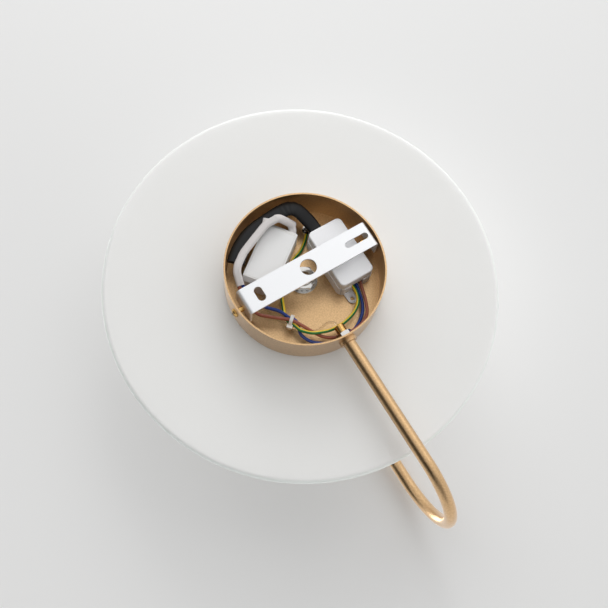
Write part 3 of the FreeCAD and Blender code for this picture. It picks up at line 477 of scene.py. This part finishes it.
def table():
    """A pale table under the lamp's front, which is clear from below.

    It takes shadows but throws none, and no reflection or bounced light comes from it.
    """
    side, depth = TABLE_REACH, TABLE_DEPTH * MM
    thing = mesh_object("table", [(-side, -depth, -side), (-side, -depth, side),
                                  (side, -depth, side), (side, -depth, -side)], [(0, 1, 2, 3)])
    material = plain("table_top", (0.78, 0.78, 0.775), 0.6)
    clear = add_node(material, "ShaderNodeBsdfTransparent")
    face = add_node(material, "ShaderNodeNewGeometry")
    mixed_surface(material, face.outputs["Backfacing"], principled(material).outputs["BSDF"],
                  clear.outputs["BSDF"], "Material Output")
    thing.data.materials.append(material)
    thing.visible_diffuse = False
    thing.visible_glossy = False
    thing.visible_transmission = False
    thing.visible_shadow = False


def soft_lamp(name, way, size, energy):
    lamp = bpy.data.lights.new(name, "AREA")
    lamp.shape = "SQUARE"
    lamp.size = size
    lamp.energy = energy
    thing = placed(name, lamp)
    thing.location = way * LAMP_DISTANCE
    thing.rotation_euler = way.to_track_quat("Z", "Y").to_euler()


def cone(world, direction, way, start, full, strength):
    """A number that rises smoothly from 0 to the strength within a cone of directions."""
    dot = add_node(world, "ShaderNodeVectorMath", {1: way}, operation="DOT_PRODUCT")
    ramp = add_node(world, "ShaderNodeMapRange",
                    {"From Min": start, "From Max": full, "To Max": strength},
                    interpolation_type="SMOOTHSTEP")
    link(world, direction, dot.inputs[0])
    link(world, dot.outputs["Value"], ramp.inputs["Value"])
    return ramp.outputs["Result"]


def room():
    """A pale room with a bright window, a dark side and a dimmer side below.

    The camera sees a plain pale backdrop instead.
    """
    world = bpy.data.worlds.new("studio")
    bpy.context.scene.world = world
    world.use_nodes = True
    direction = add_node(world, "ShaderNodeTexCoord").outputs["Generated"]
    window = add_node(world, "ShaderNodeMath", {1: ROOM_LEVEL}, operation="ADD")
    darkened = add_node(world, "ShaderNodeMath", operation="SUBTRACT")
    dimmed = add_node(world, "ShaderNodeMath", operation="SUBTRACT")
    link(world, cone(world, direction, *WINDOW_CONE), window.inputs[0])
    link(world, window.outputs["Value"], darkened.inputs[0])
    link(world, cone(world, direction, *DARK_CONE), darkened.inputs[1])
    link(world, darkened.outputs["Value"], dimmed.inputs[0])
    link(world, cone(world, direction, *DIM_CONE), dimmed.inputs[1])
    sky = world.node_tree.nodes["Background"]
    sky.inputs["Color"].default_value = (1.0, 1.0, 1.0, 1)
    link(world, dimmed.outputs["Value"], sky.inputs["Strength"])
    backdrop = add_node(world, "ShaderNodeBackground", {"Color": (0.80, 0.80, 0.79, 1)})
    rays = add_node(world, "ShaderNodeLightPath")
    mixed_surface(world, rays.outputs["Is Camera Ray"], sky.outputs["Background"],
                  backdrop.outputs["Background"], "World Output")


def camera():
    """The photograph's camera, solved from the glass, the cup, the strap and the arm."""
    right = Vector((-0.84922, 0.06437, -0.52411))
    down = Vector((0.47837, -0.32651, -0.81520))
    forward = Vector((-0.22360, -0.94300, 0.24648))
    place = spot(155.14, -587.09, -177.03)
    data = bpy.data.cameras.new("camera")
    data.sensor_width = 36.0
    data.lens = 51.97
    thing = placed("camera", data)
    turn = Matrix((right, -down, -forward)).transposed().to_4x4()
    thing.matrix_world = Matrix.Translation(place) @ turn
    bpy.context.scene.camera = thing


# ---------------------------------------------------------------- the scene

for subpart in frame["record"]["subparts"]:
    dress(nodes[subpart["node"]], subpart["material_slot"])
sleeves()
thread("nipple_thread", 6.0, 6.26, 20.05, 21.65, spot(0, 0, 0), INTO_ROOM, "nickel")
thread("stub_thread", 3.7, 3.95, 47.05, 53.0, spot(0, 13.7, 0), DOWN, "screw_brass")
driver_label()
table()
soft_lamp("key", KEY_WAY, 1.25, 23.0)
soft_lamp("fill", FILL_WAY, 1.2, 18.0)
room()
camera()
bpy.context.scene.view_settings.view_transform = "Standard"
